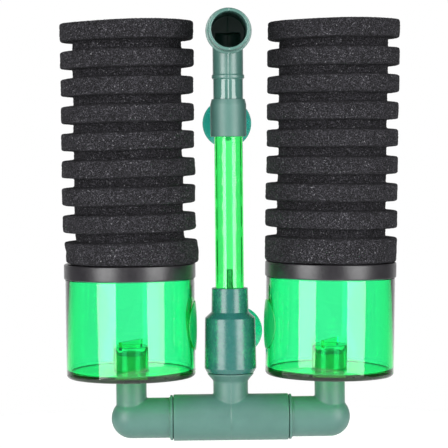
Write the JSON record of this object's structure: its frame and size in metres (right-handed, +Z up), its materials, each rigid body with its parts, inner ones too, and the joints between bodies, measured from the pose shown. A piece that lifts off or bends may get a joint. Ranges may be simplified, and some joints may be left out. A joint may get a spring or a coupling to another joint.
{
  "type": "sponge filter",
  "caption": "Air-driven aquarium filter: black ringed foam sponges on clear green media canisters, joined by elbows and a tee to a central lift tube with an outlet elbow.",
  "frame": {"origin": "in the glass plane, at the middle of the upper suction cup's rim", "axes": "+Z up along the lift tube, +X to the right seen from the front, +Y towards the glass, so the outlet points to -Y"},
  "size_m": [0.1954, 0.0828, 0.2472],
  "materials": {
    "fittings": "satin grey-green moulded plastic with fine parting lines",
    "chamber": "smooth dark teal-green moulded plastic",
    "outlet": "glossy dark green moulded plastic",
    "clear_tube": "clear bright green, polished",
    "clear_green": "clear green, polished",
    "suction_cups": "translucent teal-green soft vinyl",
    "black_plastic": "satin black moulded plastic",
    "foam": "black open-cell foam"
  },
  "bodies": {
    "tee": {"tee": "fittings"},
    "air_chamber": {"air_chamber": "chamber", "air_inlet": "chamber", "air_nozzle": "chamber"},
    "lift_tube": {"lift_tube": "clear_tube", "coupling": "fittings"},
    "outlet_elbow": {"outlet_elbow": "outlet"},
    "upper_suction_cup": {"upper_suction_cup": "suction_cups"},
    "lower_suction_cup": {"lower_suction_cup": "suction_cups"},
    "left_arm": {"left_elbow": "fittings"},
    "left_canister": {"left_canister": "clear_green"},
    "left_lid": {"left_lid": "black_plastic", "left_strainer": "black_plastic"},
    "left_sponge": {"left_sponge": "foam"},
    "right_arm": {"right_elbow": "fittings"},
    "right_canister": {"right_canister": "clear_green"},
    "right_lid": {"right_lid": "black_plastic", "right_strainer": "black_plastic"},
    "right_sponge": {"right_sponge": "foam"}
  },
  "joints": [
    {"name": "chamber_swivel", "type": "hinge", "parent": "tee", "child": "air_chamber", "pos_m": [0, -0.0406, -0.1429], "axis": [0, 0, 1], "range_deg": [-17, 33]},
    {"name": "lift_tube_slide", "type": "slide", "parent": "tee", "child": "lift_tube", "axis": [0, 0, 1], "range_m": [0, 0.014]},
    {"name": "outlet_swivel", "type": "hinge", "parent": "lift_tube", "child": "outlet_elbow", "pos_m": [0, -0.0406, 0.0171], "axis": [0, 0, 1], "range_deg": [-28, 28]},
    {"name": "upper_cup_turn", "type": "hinge", "parent": "lift_tube", "child": "upper_suction_cup", "pos_m": [0, -0.0206, 0], "axis": [0, 1, 0], "continuous": true},
    {"name": "lower_cup_turn", "type": "hinge", "parent": "air_chamber", "child": "lower_suction_cup", "pos_m": [0.00278, -0.0208, -0.1233], "axis": [0.1392, 0.9903, 0], "continuous": true},
    {"name": "left_arm_swing", "type": "hinge", "parent": "tee", "child": "left_arm", "pos_m": [-0.0572, -0.0406, -0.16955], "axis": [1, 0, 0], "range_deg": [0, 90]},
    {"name": "left_canister_turn", "type": "hinge", "parent": "left_arm", "child": "left_canister", "pos_m": [-0.0572, -0.0406, -0.1369], "axis": [-0.0035, 0, 1], "continuous": true},
    {"name": "left_lid_lift", "type": "slide", "parent": "left_canister", "child": "left_lid", "axis": [-0.0035, 0, 1], "range_m": [0, 0.03]},
    {"name": "left_sponge_pull", "type": "slide", "parent": "left_lid", "child": "left_sponge", "axis": [-0.0035, 0, 1], "range_m": [0, 0.12]},
    {"name": "right_arm_swing", "type": "hinge", "parent": "tee", "child": "right_arm", "pos_m": [0.0572, -0.0406, -0.16955], "axis": [1, 0, 0], "range_deg": [0, 90]},
    {"name": "right_canister_turn", "type": "hinge", "parent": "right_arm", "child": "right_canister", "pos_m": [0.0572, -0.0406, -0.1369], "axis": [0.0192, 0, 0.9998], "continuous": true},
    {"name": "right_lid_lift", "type": "slide", "parent": "right_canister", "child": "right_lid", "axis": [0.0192, 0, 0.9998], "range_m": [0, 0.03]},
    {"name": "right_sponge_pull", "type": "slide", "parent": "right_lid", "child": "right_sponge", "axis": [0.0192, 0, 0.9998], "range_m": [0, 0.12]}
  ]
}
